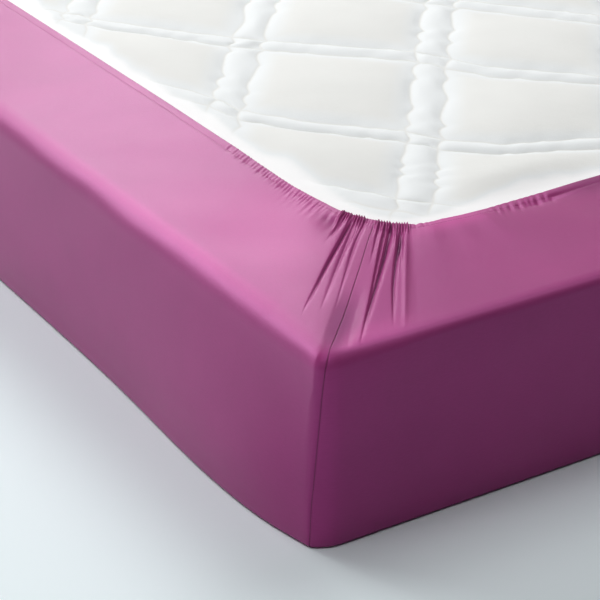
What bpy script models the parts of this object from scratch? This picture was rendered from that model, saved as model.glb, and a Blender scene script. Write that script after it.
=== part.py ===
"""A mattress lying face down in a fitted sheet, whose gathered hem turns over the underside.

The origin is on the floor, under the middle of the mattress. X runs across it, Y along it.
The sheet is one cloth: a floor panel, four walls, and a band that turns over onto the
quilted underside. Four sewn corner darts and an elastic hem draw the band in at each
corner, where it gathers into pleats. All four corners are alike, so one quarter of the
outline is worked out and mirrored.
"""

import collections
import math

import bmesh
import bpy

# Mattress
MATTRESS_WIDTH = 1.400
MATTRESS_LENGTH = 2.000
CORNER_RADIUS = 0.024
EDGE_RADIUS = 0.016
CASE_LEVEL = 0.197
# Sheet
TOP = 0.200
CLOTH = 0.002
SIDE_GAP = 0.0042
REST_GAP = 0.0005
FOLD_RADIUS = 0.018
BASE_RADIUS = 0.013
BAND_AT_LONG_SIDE = 0.183
BAND_AT_SHORT_SIDE = 0.188
HEM_RADIUS = 0.085
GATHER = 0.40
GATHER_SHIFT = 0.009
# The soft walls: the long ones swell out near the floor, most beside the corners, and the
# short ones tuck in
SWELL = 0.012
BULGE = 0.010
BULGE_PLACE = 0.17
BULGE_REACH = 0.17
TUCK = 0.006
# Quilting: two families of paired stitch lines that cross as diamonds
QUILT_ANGLE = math.radians(52.4)
QUILT_PITCH = 0.225
QUILT_PAIR = 0.036
QUILT_START_A = 0.124
QUILT_START_B = -0.419
QUILT_SHOULDER = 0.050
PUFF = 0.0075
TUBE = 0.0035
STITCH_DEPTH = 0.0040
QUILT_CLEAR = 0.005
QUILT_FADE = 0.035

HALF_X = MATTRESS_WIDTH / 2 + SIDE_GAP + CLOTH
HALF_Y = MATTRESS_LENGTH / 2 + SIDE_GAP + CLOTH
RADIUS = CORNER_RADIUS + SIDE_GAP + CLOTH
HEM_X = HALF_X - BAND_AT_LONG_SIDE
HEM_Y = HALF_Y - BAND_AT_SHORT_SIDE

# A pleat's crest. "along" is its place along the outline from the corner, negative on the
# long side. "width" is its half width there, and "height" its rise over the band next to
# the hem. It ends at "reach", a share of the way from the hem to the outer fold.
Pleat = collections.namedtuple("Pleat", "along width height reach")
PLEATS = (
    Pleat(-0.108, 0.015, 0.0020, 0.45),
    Pleat(-0.077, 0.016, 0.0050, 0.85),
    Pleat(-0.056, 0.005, 0.0052, 0.85),
    Pleat(-0.040, 0.011, 0.0055, 0.85),
    Pleat(-0.012, 0.016, 0.0046, 0.97),
    Pleat(0.013, 0.009, 0.0046, 0.98),
    Pleat(0.027, 0.005, 0.0060, 0.98),
    Pleat(0.038, 0.006, 0.0064, 0.75),
    Pleat(0.0535, 0.0095, 0.0062, 0.90),
    Pleat(0.0675, 0.0045, 0.0050, 0.60),
    Pleat(0.081, 0.009, 0.0066, 0.97),
    Pleat(0.104, 0.014, 0.0015, 0.40),
)
# Where the outline has a section without a pleat, as distances from the corner
PLAIN_LONG = (0.160, 0.215, 0.270, 0.330, 0.460, 0.700)
PLAIN_SHORT = (0.160, 0.215, 0.270, 0.330, 0.480)
# The band's rows from hem to fold: "share" of the way, and "lift" of the hem's casing
BandRow = collections.namedtuple("BandRow", "share lift")
BAND_ROWS = (
    BandRow(0.00, 0.0006),
    BandRow(0.035, 0.0022),
    BandRow(0.075, 0.0004),
    BandRow(0.20, 0.0000),
    BandRow(0.42, 0.0000),
    BandRow(0.68, 0.0000),
    BandRow(1.00, 0.0000),
)
WALL_HEIGHTS = (0.130, 0.070)


def smooth(value):
    """Ramps from 0 to 1 with level ends."""
    value = min(max(value, 0.0), 1.0)
    return value * value * (3 - 2 * value)


def along_outline(distance, half_x, half_y, radius, inset=0.0):
    """Point and outward direction on the near left quarter of a rounded rectangle."""
    arc = math.pi * radius / 4
    if distance < -arc:
        point = (-half_x, -half_y + radius - distance - arc)
        outward = (-1.0, 0.0)
    elif distance > arc:
        point = (-half_x + radius + distance - arc, -half_y)
        outward = (0.0, -1.0)
    else:
        turn = math.radians(225) + distance / radius
        outward = (math.cos(turn), math.sin(turn))
        point = (
            -half_x + radius + radius * outward[0],
            -half_y + radius + radius * outward[1],
        )
    return (
        point[0] - inset * outward[0],
        point[1] - inset * outward[1],
        outward[0],
        outward[1],
    )


def hem_distance(distance):
    """Place along the hem of the cloth that meets the outline at this distance."""
    toward = 1 if distance < 0 else -1
    gathered = GATHER * abs(distance) + toward * GATHER_SHIFT
    half, hem = (HALF_Y, HEM_Y) if distance < 0 else (HALF_X, HEM_X)
    outer_end = math.pi * RADIUS / 4 + half - RADIUS
    hem_end = math.pi * HEM_RADIUS / 4 + hem - HEM_RADIUS
    straight = abs(distance) - outer_end + hem_end
    return -toward * max(gathered, straight)


def pleat_height(distance, share):
    """Rise of the pleats over the band, at a distance from the corner."""
    rise = 0.0
    for pleat in PLEATS:
        across = abs(distance - pleat.along) / pleat.width
        if across >= 1 or share >= pleat.reach:
            continue
        fade = 1 - (share / pleat.reach) ** 1.3
        rise = max(rise, pleat.height * fade * (1 - across**2))
    return rise


def swelling(y, z, outward_x):
    """How far a wall leaves the straight at this height: out on the long walls, in on the short."""
    from_corner = HALF_Y - abs(y)
    where = math.exp(-(((from_corner - BULGE_PLACE) / BULGE_REACH) ** 2))
    start = TOP - FOLD_RADIUS
    down = min(max((start - z) / (start - BASE_RADIUS), 0.0), 1.0)
    height = math.sin(math.pi / 2 * down)
    long_share = outward_x * outward_x
    return height * ((SWELL + BULGE * where) * long_share - TUCK * (1 - long_share))


def stations():
    """Distances from the corner, from the middle of the long side to the short one."""
    long_end = math.pi * RADIUS / 4 + HALF_Y - RADIUS
    short_end = math.pi * RADIUS / 4 + HALF_X - RADIUS
    found = [-long_end]
    found += [-place for place in reversed(PLAIN_LONG)]
    found.append(PLEATS[0].along - PLEATS[0].width)
    for pleat, following in zip(PLEATS, PLEATS[1:] + (None,)):
        found.append(pleat.along - 0.45 * pleat.width)
        found.append(pleat.along + 0.45 * pleat.width)
        if following is None:
            found.append(pleat.along + pleat.width)
        else:
            right = pleat.along + pleat.width
            left = following.along - following.width
            found.append((right + left) / 2)
    found += PLAIN_SHORT
    found.append(short_end)
    return found


def sheet_section(distance):
    """Outer points of the cloth at one station, hem to floor, each with its normal."""
    section = []
    fold_x, fold_y, out_x, out_y = along_outline(
        distance, HALF_X, HALF_Y, RADIUS, FOLD_RADIUS
    )
    hem_x, hem_y = along_outline(hem_distance(distance), HEM_X, HEM_Y, HEM_RADIUS)[:2]
    for row in BAND_ROWS:
        x = hem_x + (fold_x - hem_x) * row.share
        y = hem_y + (fold_y - hem_y) * row.share
        z = TOP + row.lift + pleat_height(distance, row.share)
        section.append(((x, y, z), (0.0, 0.0, 1.0)))
    for turn in (45, 90):
        side = math.sin(math.radians(turn))
        up = math.cos(math.radians(turn))
        reach = FOLD_RADIUS * side
        point = (
            fold_x + out_x * reach,
            fold_y + out_y * reach,
            TOP - FOLD_RADIUS + FOLD_RADIUS * up,
        )
        section.append((point, (out_x * side, out_y * side, up)))
    for height in WALL_HEIGHTS:
        reach = FOLD_RADIUS + swelling(fold_y, height, out_x)
        point = (fold_x + out_x * reach, fold_y + out_y * reach, height)
        section.append((point, (out_x, out_y, 0.0)))
    for turn in (0, 45, 90):
        side = math.cos(math.radians(turn))
        down = math.sin(math.radians(turn))
        reach = FOLD_RADIUS + swelling(fold_y, BASE_RADIUS, out_x)
        reach -= BASE_RADIUS * (1 - side)
        point = (
            fold_x + out_x * reach,
            fold_y + out_y * reach,
            BASE_RADIUS * (1 - down),
        )
        section.append((point, (out_x * side, out_y * side, -down)))
    return section


def full_loop():
    """The sections of all four quarters, in order round the mattress."""
    quarter = [sheet_section(distance) for distance in stations()]

    def mirrored(sections, sign_x, sign_y):
        return [
            [
                (
                    (p[0] * sign_x, p[1] * sign_y, p[2]),
                    (n[0] * sign_x, n[1] * sign_y, n[2]),
                )
                for p, n in section
            ]
            for section in sections
        ]

    backwards = quarter[::-1]
    loop = mirrored(quarter, 1, 1)
    loop += mirrored(backwards, -1, 1)[1:]
    loop += mirrored(quarter, -1, -1)[1:]
    loop += mirrored(backwards, 1, -1)[1:-1]
    return loop


def make_object(name, bm, colour, roughness):
    mesh = bpy.data.meshes.new(name)
    bm.normal_update()
    bm.to_mesh(mesh)
    bm.free()
    mesh.shade_smooth()
    mesh.set_sharp_from_angle(angle=math.radians(50))
    material = bpy.data.materials.new(name + "_finish")
    material.use_nodes = True
    shader = material.node_tree.nodes["Principled BSDF"]
    shader.inputs["Base Color"].default_value = colour
    shader.inputs["Roughness"].default_value = roughness
    shader.inputs["Metallic"].default_value = 0.0
    mesh.materials.append(material)
    obj = bpy.data.objects.new(name, mesh)
    bpy.context.scene.collection.objects.link(obj)
    return obj


def build_sheet():
    """One closed body: outer skin, inner skin, the hem's edge and both floor faces."""
    bm = bmesh.new()
    loop = full_loop()
    outer = [[bm.verts.new(p) for p, n in section] for section in loop]
    inner = [
        [
            bm.verts.new([a - CLOTH * b for a, b in zip(p, n)])
            for p, n in section
        ]
        for section in loop
    ]
    count = len(loop)
    rows = len(loop[0])
    for i in range(count):
        j = (i + 1) % count
        for k in range(rows - 1):
            a, b = outer[i][k], outer[j][k]
            c, d = outer[j][k + 1], outer[i][k + 1]
            bm.faces.new((a, c, b))
            bm.faces.new((a, d, c))
            a, b = inner[i][k], inner[j][k]
            c, d = inner[j][k + 1], inner[i][k + 1]
            bm.faces.new((a, b, c))
            bm.faces.new((a, c, d))
        bm.faces.new((outer[i][0], outer[j][0], inner[j][0]))
        bm.faces.new((outer[i][0], inner[j][0], inner[i][0]))
    bm.faces.new([section[-1] for section in outer])
    bm.faces.new([section[-1] for section in inner][::-1])
    bmesh.ops.recalc_face_normals(bm, faces=bm.faces)
    return make_object("sheet", bm, (0.36, 0.09, 0.22, 1.0), 0.5)


def hem_room(x, y):
    """How far a point lies inside the opening that the hem leaves."""
    core_x = HEM_X - HEM_RADIUS
    core_y = HEM_Y - HEM_RADIUS
    past_x = abs(x) - core_x
    past_y = abs(y) - core_y
    outside = math.hypot(max(past_x, 0.0), max(past_y, 0.0))
    inside = min(max(past_x, past_y), 0.0)
    return HEM_RADIUS - outside - inside


def quilt_height(x, y):
    """Height of the quilted face over its level: cells, tubes and stitched channels."""
    side = math.cos(QUILT_ANGLE)
    rise = math.sin(QUILT_ANGLE)
    shares = []
    tubes = []
    for across, start in (
        (x * rise - y * side, QUILT_START_A),
        (x * rise + y * side, QUILT_START_B),
    ):
        place = (across - start) / QUILT_PITCH
        from_line = abs(place - round(place)) * QUILT_PITCH
        past = (from_line - QUILT_PAIR / 2) / (QUILT_PITCH / 2 - QUILT_PAIR / 2)
        shares.append(math.sqrt(min(max(past * 1.6, 0.0), 1.0)))
        tubes.append(max(1 - (2 * from_line / QUILT_PAIR) ** 2, 0.0))
    cell = (PUFF + STITCH_DEPTH) * shares[0] * shares[1]
    tube = (TUBE + STITCH_DEPTH) * max(tubes[0], tubes[1])
    height = max(cell, tube) - STITCH_DEPTH
    room = hem_room(x, y) - QUILT_CLEAR
    return height * smooth(room / QUILT_FADE)


def cut_lines(start):
    """Places where the face is divided, across one family of stitch lines."""
    reach = 1.8
    first = math.floor(-reach / QUILT_PITCH)
    offsets = (0.0, QUILT_PAIR / 2, QUILT_SHOULDER, QUILT_PITCH / 2)
    places = set()
    for k in range(first, -first + 1):
        for offset in offsets:
            places.add(round(start + k * QUILT_PITCH + offset, 6))
            places.add(round(start + k * QUILT_PITCH - offset, 6))
    merged = []
    for place in sorted(places):
        if not merged or place - merged[-1] > 1e-4:
            merged.append(place)
    return merged


def quarter_normals(radius_steps):
    """Outward directions round a rounded rectangle, for the lines that cut it out."""
    return [
        (math.cos(math.tau * k / (4 * radius_steps)), math.sin(math.tau * k / (4 * radius_steps)))
        for k in range(4 * radius_steps)
    ]


def cut_round(bm, half_x, half_y, radius, steps, clear):
    """Cuts along the sides and corner tangents of a rounded rectangle."""
    for nx, ny in quarter_normals(steps):
        x = math.copysign(half_x - radius, nx) + radius * nx
        y = math.copysign(half_y - radius, ny) + radius * ny
        bmesh.ops.bisect_plane(
            bm,
            geom=bm.verts[:] + bm.edges[:] + bm.faces[:],
            dist=1e-5,
            plane_co=(x, y, 0),
            plane_no=(nx, ny, 0),
            clear_outer=clear,
        )


def build_mattress():
    """A soft-edged block with its quilting raised in its upper face."""
    bm = bmesh.new()
    side = math.cos(QUILT_ANGLE)
    rise = math.sin(QUILT_ANGLE)
    lines_a = cut_lines(QUILT_START_A)
    lines_b = cut_lines(QUILT_START_B)
    grid = {}
    for i, a in enumerate(lines_a):
        for j, b in enumerate(lines_b):
            x = (a + b) / (2 * rise)
            y = (b - a) / (2 * side)
            if abs(x) < 1.1 and abs(y) < 1.5:
                grid[i, j] = bm.verts.new((x, y, CASE_LEVEL))
    for i, j in list(grid):
        corners = ((i, j), (i + 1, j), (i + 1, j + 1), (i, j + 1))
        if all(corner in grid for corner in corners):
            bm.faces.new([grid[corner] for corner in corners])
    half_x = MATTRESS_WIDTH / 2
    half_y = MATTRESS_LENGTH / 2
    rim = CORNER_RADIUS - EDGE_RADIUS
    cut_round(bm, half_x - EDGE_RADIUS, half_y - EDGE_RADIUS, rim, 4, True)
    clear = QUILT_CLEAR
    cut_round(bm, HEM_X - clear, HEM_Y - clear, HEM_RADIUS - clear, 4, False)
    bmesh.ops.remove_doubles(bm, verts=bm.verts, dist=0.001)
    bmesh.ops.recalc_face_normals(bm, faces=bm.faces)
    for vert in bm.verts:
        vert.co.z = CASE_LEVEL + quilt_height(vert.co.x, vert.co.y)
    ring = [edge for edge in bm.edges if edge.is_boundary]
    base = CLOTH + REST_GAP
    rows = (
        (EDGE_RADIUS * 0.7071, CASE_LEVEL - EDGE_RADIUS * 0.2929),
        (EDGE_RADIUS, CASE_LEVEL - EDGE_RADIUS),
        (EDGE_RADIUS, WALL_HEIGHTS[0]),
        (EDGE_RADIUS, WALL_HEIGHTS[1]),
        (EDGE_RADIUS, base + EDGE_RADIUS),
        (EDGE_RADIUS * 0.7071, base + EDGE_RADIUS * 0.2929),
        (0.0, base),
    )
    first = {}
    for edge in ring:
        for vert in edge.verts:
            core_x = max(min(vert.co.x, half_x - CORNER_RADIUS), CORNER_RADIUS - half_x)
            core_y = max(min(vert.co.y, half_y - CORNER_RADIUS), CORNER_RADIUS - half_y)
            away = math.hypot(vert.co.x - core_x, vert.co.y - core_y)
            first[vert] = (
                vert.co.x,
                vert.co.y,
                (vert.co.x - core_x) / away,
                (vert.co.y - core_y) / away,
            )
    for outward, height in rows:
        made = bmesh.ops.extrude_edge_only(bm, edges=ring)["geom"]
        new_edges = [part for part in made if isinstance(part, bmesh.types.BMEdge)]
        new_edges = [edge for edge in new_edges if edge.is_boundary]
        new_verts = {vert for edge in new_edges for vert in edge.verts}
        following = {}
        for vert in new_verts:
            old = next(
                edge.other_vert(vert)
                for edge in vert.link_edges
                if edge.other_vert(vert) in first
            )
            x, y, out_x, out_y = first[old]
            swell = swelling(y, height, out_x)
            vert.co = (
                x + out_x * (outward + swell),
                y + out_y * (outward + swell),
                height,
            )
            following[vert] = first[old]
        first = following
        ring = new_edges
    bmesh.ops.contextual_create(bm, geom=ring)
    bmesh.ops.recalc_face_normals(bm, faces=bm.faces)
    return make_object("mattress", bm, (0.86, 0.87, 0.86, 1.0), 0.8)


def main():
    for obj in list(bpy.data.objects):
        bpy.data.objects.remove(obj, do_unlink=True)
    build_sheet()
    build_mattress()


main()
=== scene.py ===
"""A quilted mattress lying face down in a plum fitted sheet, dressed for a studio picture.

It is laid out as an add-on and run as a script. The frame holds the two solids, and the
operators build the camera, floor and lights, the quilted ticking, the sewing and the cloth.
"""

import collections
import math

import bmesh
import bpy
import numpy as np
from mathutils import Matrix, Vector


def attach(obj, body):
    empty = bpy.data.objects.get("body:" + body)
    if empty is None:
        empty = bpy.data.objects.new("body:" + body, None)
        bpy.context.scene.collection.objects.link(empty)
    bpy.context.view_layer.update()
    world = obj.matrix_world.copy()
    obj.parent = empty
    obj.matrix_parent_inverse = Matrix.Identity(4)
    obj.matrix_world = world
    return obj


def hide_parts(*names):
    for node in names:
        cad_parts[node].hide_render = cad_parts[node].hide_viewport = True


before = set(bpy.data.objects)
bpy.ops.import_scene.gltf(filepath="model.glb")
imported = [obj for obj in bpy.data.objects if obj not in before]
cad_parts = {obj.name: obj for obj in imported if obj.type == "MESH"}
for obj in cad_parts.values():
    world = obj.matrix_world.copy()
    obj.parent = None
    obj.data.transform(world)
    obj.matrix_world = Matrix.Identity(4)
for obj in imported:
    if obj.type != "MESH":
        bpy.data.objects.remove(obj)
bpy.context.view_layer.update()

bl_info = {
    "name": "Fitted sheet on a mattress",
    "version": (1, 0, 0),
    "blender": (4, 5, 0),
    "location": "View3D > Sidebar > Bedding",
    "description": "Builds a quilted mattress in a fitted sheet with a gathered hem",
    "category": "Add Mesh",
}

# Sizes that the solids share, in metres
TOP = 0.200
CASE_LEVEL = 0.197
HALF_X = 0.7062
HALF_Y = 1.0062
RADIUS = 0.0302
BASE_RADIUS = 0.013
FOOT_RADIUS = 0.004
HEM_X = HALF_X - 0.183
HEM_Y = HALF_Y - 0.188
HEM_RADIUS = 0.085
# Length of the hem for each metre of the outer fold at the corner, and how far it is shifted
GATHER = 0.40
GATHER_SHIFT = 0.009
# How far the long walls swell out all along and bulge near their ends, and the short tuck in
SWELL = 0.012
BULGE = 0.010
BULGE_PLACE = 0.17
BULGE_REACH = 0.17
TUCK = 0.006
# The mattress: half lengths, radius of its upright corners, rounding of its edges, height of
# its base over the floor, and how far the quilting starts from the hem
MATTRESS_HALF = (0.700, 1.000)
MATTRESS_CORNER = 0.024
MATTRESS_EDGE = 0.016
MATTRESS_BASE = 0.0025
QUILT_CLEAR = 0.004
# Distances along the outline from the corner to the middle of each side, and to the seam
LONG_END = math.pi * RADIUS / 4 + HALF_Y - RADIUS
SHORT_END = math.pi * RADIUS / 4 + HALF_X - RADIUS
SEAM_AT = 0.003
# Half lengths and corner radius of the sheet's outer fold and of its hem
OUTER = (HALF_X, HALF_Y, RADIUS)
HEM = (HEM_X, HEM_Y, HEM_RADIUS)
# The corner of the wall: how far it turns along the long side, at the foot and at the
# fold, and along the short side
TURN_LEFT = (0.0225, 0.0155)
TURN_RIGHT = 0.0240
# Radius of the fold between band and wall, at distances from the corner
FOLD_RADII = ((-0.10, 0.0215), (0.00, 0.0160), (0.04, 0.0118), (0.10, 0.0090))
# Where the corner seam lies along the outline, at heights over the floor
SEAM_PATH = (
    (0.0, -0.0131), (0.046, -0.0111), (0.088, -0.0077), (0.128, -0.0041), (0.165, -0.0009),
    (0.2, 0.003),
)

# A groove between two pleats. Its path pairs a share of the way from the hem to the outer
# fold with a distance along the outline from the corner. "steep" and "slope" are the widths
# of the flanks on its left and its right, seen from the corner.
Groove = collections.namedtuple("Groove", "path depth steep slope")
GROOVES = (
    Groove(((0.00, -0.0770), (0.14, -0.0820), (0.30, -0.0865)), 0.0046, 0.0028, 0.0044),
    Groove(
        ((0.00, -0.0545), (0.24, -0.0575), (0.44, -0.0612), (0.90, -0.0640)),
        0.0046, 0.0018, 0.0028,
    ),
    Groove(
        ((0.00, -0.0455), (0.20, -0.0430), (0.45, -0.0420), (0.80, -0.0390)),
        0.0024, 0.0030, 0.0040,
    ),
    Groove(((0.00, -0.0365), (0.15, -0.0350), (0.34, -0.0340)), 0.0020, 0.0012, 0.0024),
    Groove(((0.00, -0.0320), (0.15, -0.0300), (0.30, -0.0300)), 0.0016, 0.0010, 0.0018),
    Groove(
        ((0.00, -0.0200), (0.20, -0.0250), (0.38, -0.0238), (0.74, -0.0130)),
        0.0022, 0.0022, 0.0040,
    ),
    Groove(((0.00, 0.0150), (0.22, 0.0225), (0.38, 0.0260)), 0.0021, 0.0020, 0.0034),
    Groove(
        ((0.00, 0.0300), (0.12, 0.0330), (0.42, 0.0378), (0.64, 0.0402), (1.02, 0.0412)),
        0.0036, 0.0012, 0.0032,
    ),
    Groove(
        ((0.00, 0.0430), (0.30, 0.0448), (0.64, 0.0422), (0.92, 0.0418)),
        0.0066, 0.0024, 0.0042,
    ),
    Groove(((0.00, 0.0520), (0.16, 0.0545), (0.28, 0.0552)), 0.0022, 0.0010, 0.0020),
    Groove(
        ((0.00, 0.0625), (0.22, 0.0674), (0.38, 0.0662), (0.58, 0.0676), (0.90, 0.0738)),
        0.0040, 0.0014, 0.0030,
    ),
    Groove(((0.00, 0.0690), (0.22, 0.0736), (0.46, 0.0760)), 0.0026, 0.0014, 0.0024),
)
# Left and right ends of the gathered cloth and its height, from the hem to the fold
GATHER_LEFT = -0.116
GATHER_RIGHT = ((0.00, 0.0775), (0.18, 0.0805), (0.28, 0.0822), (0.60, 0.0845), (1.00, 0.0868))
GATHER_RISE = (
    (0.00, 0.0008), (0.08, 0.0024), (0.22, 0.0040), (0.60, 0.0038), (0.84, 0.0022), (1.00, 0.0),
)
# How far the seam leans from its column of points, from the hem to the fold
BAND_SEAM = (
    (0.00, 0.0), (0.20, 0.0016), (0.40, 0.0044), (0.60, 0.0054), (0.80, 0.0048), (1.00, 0.0012),
)
# Slant of the small ribs, at distances from the corner
RIB_SLANT = (
    (-0.120, 0.045), (-0.085, 0.043), (-0.045, 0.018), (0.000, -0.010), (0.030, -0.030),
    (0.085, -0.025),
)
# Outward moves of the hem from its rounded rectangle, at distances from the corner
HEM_MOVES = (
    (-0.600, 0.0), (-0.500, 0.0012), (-0.450, 0.0013), (-0.400, 0.0030), (-0.350, 0.0040),
    (-0.300, 0.0040), (-0.233, 0.0023), (-0.190, 0.0007), (-0.155, -0.0010), (-0.120, -0.0020),
    (-0.087, -0.0018), (-0.050, -0.0012), (-0.023, 0.0), (0.005, 0.0012), (0.034, 0.0027),
    (0.070, 0.0042), (0.100, 0.0046), (0.137, 0.0026), (0.170, 0.0), (0.200, 0.0012),
    (0.225, 0.0022), (0.270, 0.0026), (0.300, 0.0029), (0.337, 0.0017), (0.380, 0.0003),
    (0.400, 0.0), (0.417, -0.0021), (0.450, -0.0046), (0.520, -0.0020), (0.600, 0.0),
)
# Tilt of the hem's casing: up from the hem where it is positive, down where negative
CASING_TILT = (
    (-0.600, 0.5), (-0.450, 0.7), (-0.300, 0.6), (-0.120, 0.4), (-0.060, 0.1), (0.080, 0.2),
    (0.110, 1.6), (0.140, 2.4), (0.270, 2.2), (0.330, 0.3), (0.380, -0.8), (0.420, -2.1),
    (0.560, 0.3),
)
CASING = 0.0130
# How far the cloth may sink under the band's level, and how thick the folded hem is
LOWEST = -0.0018
HEM_THICKNESS = 0.0020

# How far down a line of the cloth's points runs: to the floor, over the fold, or only beside
# the hem
TO_FLOOR, TO_FOLD, TO_HEM = 0, 1, 2
# Stretches of the outline from the long side to the short one: start, end, step between the
# lines of points, and every how many lines one runs over the fold and one to the floor
SPANS = (
    (-LONG_END, -0.520, 0.045, 1, 1),
    (-0.520, -0.130, 0.0013, 4, 8),
    (-0.130, -0.100, 0.0012, 2, 8),
    (-0.100, 0.094, 0.0011, 1, 5),
    (0.094, 0.160, 0.0018, 2, 8),
    (0.160, 0.380, 0.0024, 3, 9),
    (0.380, SHORT_END, 0.045, 1, 1),
)
# Lines of points beside the corner seam, and the room that is kept for them
SEAM_LINES = (-0.0026, -0.0018, -0.0011, -0.0005, 0.0, 0.0005, 0.0011, 0.0018, 0.0026)
SEAM_ROOM = 0.0030
# Rows of points from the hem to the floor: round the hem's folded edge (how far in, and share
# of the way down), distances from the hem, even steps over the rest of the band, turns of the
# fold in degrees, heights of the wall and turns of its foot
HEM_EDGE = ((0.010, 1.0), (0.003, 1.0), (0.0005, 0.80), (0.0, 0.45), (0.0003, 0.12))
BESIDE_HEM = (
    0.0016, 0.0032, 0.0050, 0.0068, 0.0086, 0.0102, 0.0116, 0.0128, 0.0140,
    0.0154, 0.0170, 0.0188, 0.0208, 0.0232, 0.0260, 0.0294, 0.0335,
)
BAND_STEPS = 18
FOLD_TURNS = (12, 24, 36, 48, 60, 75, 89.9)
WALL_HEIGHTS = (0.165, 0.147, 0.128, 0.108, 0.088, 0.067, 0.046, 0.026, 0.014)
FOOT_TURNS = (0, 30, 60, 90)
# Numbers of rows: the hem's edge, the casing's stitches, the start of the corner seam, the
# first of the even steps, where the fold starts, and the first of the wall
EDGE_ROW = len(HEM_EDGE) - 1
CASING_ROW = len(HEM_EDGE) + BESIDE_HEM.index(0.0128)
SEAM_ROW = CASING_ROW + 1
STEP_ROW = len(HEM_EDGE) + len(BESIDE_HEM)
FOLD_ROW = STEP_ROW + BAND_STEPS - 1
WALL_ROW = FOLD_ROW + 1 + len(FOLD_TURNS)


def sine_cosine(degrees):
    """Sine and cosine of an angle in degrees."""
    turn = math.radians(degrees)
    return math.sin(turn), math.cos(turn)


def smooth(value):
    """Ramps from 0 to 1 with level ends."""
    value = np.clip(value, 0.0, 1.0)
    return value * value * (3 - 2 * value)


def window(value, start, rise, end, fall):
    """1 between two places, with a smooth rise after the first and fall after the second."""
    return smooth((value - start) / rise) * (1 - smooth((value - end) / fall))


def bell(value, centre, width, power=2):
    """1 at the centre, falling off to both sides."""
    return np.exp(-(np.abs((value - centre) / width) ** power))


def follow(table, value):
    """Reads a table of pairs, with straight lines between them."""
    return np.interp(value, *zip(*table))


def outline(distance, half_x, half_y, radius, inset=0.0):
    """Points and outward directions on the near left quarter of a rounded rectangle."""
    arc = math.pi * radius / 4
    turn = math.radians(225) + np.clip(distance, -arc, arc) / radius
    out_x, out_y = np.cos(turn), np.sin(turn)
    reach = radius - inset
    x = -half_x + radius + reach * out_x + np.maximum(distance - arc, 0.0)
    y = -half_y + radius + reach * out_y + np.maximum(-distance - arc, 0.0)
    return x, y, out_x, out_y


def fold_radius(distance):
    """Radius of the fold between band and wall, which tightens on the short side."""
    return follow(FOLD_RADII, distance)


def wall_corner(distance, height):
    """The same quarter for the wall, with a tighter turn that starts at the seam."""
    before, after = -0.060, 0.050
    angle = np.linspace(math.pi, 1.5 * math.pi, 60)
    left = TURN_LEFT[0] + (TURN_LEFT[1] - TURN_LEFT[0]) * float(smooth(height / 0.18))
    x = np.concatenate(([0.0], TURN_RIGHT * (1 + np.cos(angle)), [0.08])) - HALF_X
    y = np.concatenate(([0.08], left * (1 + np.sin(angle)), [0.0])) - HALF_Y
    out = np.stack([left * np.cos(angle), TURN_RIGHT * np.sin(angle)])
    out = out / np.linalg.norm(out, axis=0)
    out_x = np.concatenate(([-1.0], out[0], [0.0]))
    out_y = np.concatenate(([0.0], out[1], [-1.0]))
    ends = outline(np.array([before, after]), *OUTER)
    x[-1], y[0] = ends[0][1], ends[1][0]
    along = np.concatenate(([0.0], np.cumsum(np.hypot(np.diff(x), np.diff(y)))))
    place = np.clip((distance - before) / (after - before), 0.0, 1.0) * along[-1]
    past_left, past_right = np.minimum(distance - before, 0.0), np.maximum(distance - after, 0.0)
    found_x = np.interp(place, along, x) + past_right
    found_y = np.interp(place, along, y) - past_left
    return found_x, found_y, np.interp(place, along, out_x), np.interp(place, along, out_y)


def hem_distance(distance):
    """Place along the hem of the cloth that meets the outline at this distance."""
    toward = np.where(distance < 0, 1.0, -1.0)
    gathered = GATHER * np.abs(distance) + toward * GATHER_SHIFT
    half = np.where(distance < 0, HALF_Y, HALF_X)
    hem = np.where(distance < 0, HEM_Y, HEM_X)
    outer_end = math.pi * RADIUS / 4 + half - RADIUS
    hem_end = math.pi * HEM_RADIUS / 4 + hem - HEM_RADIUS
    straight = np.abs(distance) - outer_end + hem_end
    return -toward * np.maximum(gathered, straight)


def wall_swell(y, z, out_x, power=2):
    """How far a wall leaves the straight: out on the long walls, in on the short."""
    away = HALF_Y - np.abs(y)
    where = bell(away, BULGE_PLACE, BULGE_REACH)
    corner = 1 - bell(np.maximum(away, 0.0), 0.0, 0.055, 1.6)
    foot = 0.0039 * (1 - smooth(z / 0.06))
    start = TOP - FOLD_RADII[0][1]
    down = np.clip((start - z) / (start - BASE_RADIUS), 0.0, 1.0)
    share = np.abs(out_x) ** power
    out = (SWELL + BULGE * where - foot) * corner
    return np.sin(np.pi / 2 * down) * (out * share - TUCK * (1 - share))


def waves(x, y, length, seed):
    """Slow uneven undulation from -1 to 1, the same each time."""
    rng = np.random.default_rng(seed)
    total = np.zeros(np.broadcast(x, y).shape)
    for _ in range(5):
        turn, phase, size = rng.uniform((0, 0, 0.7), (math.tau, math.tau, 1.4))
        along = (x * math.cos(turn) + y * math.sin(turn)) / (length * size)
        total += np.sin(math.tau * along + phase)
    return total / 3.2


def wobble(value, length, seed):
    """Uneven change of a single length, from -1 to 1."""
    return waves(value, np.zeros_like(value), length, seed)


def stations():
    """Distances from the corner where the cloth has a line of points, and how far down each
    line runs.
    """
    found = [(SHORT_END, TO_FLOOR)]
    for start, end, step, fold_every, floor_every in SPANS:
        count = max(round((end - start) / step), 1)
        for k in range(count):
            level = TO_FLOOR if k % floor_every == 0 else TO_FOLD if k % fold_every == 0 else TO_HEM
            found.append((start + (end - start) * k / count, level))
    found = [(place, level) for place, level in found if abs(place - SEAM_AT) > SEAM_ROOM]
    found += [(SEAM_AT + away, TO_FLOOR) for away in SEAM_LINES]
    found.sort()
    return np.array([place for place, _ in found]), np.array([level for _, level in found])


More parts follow.
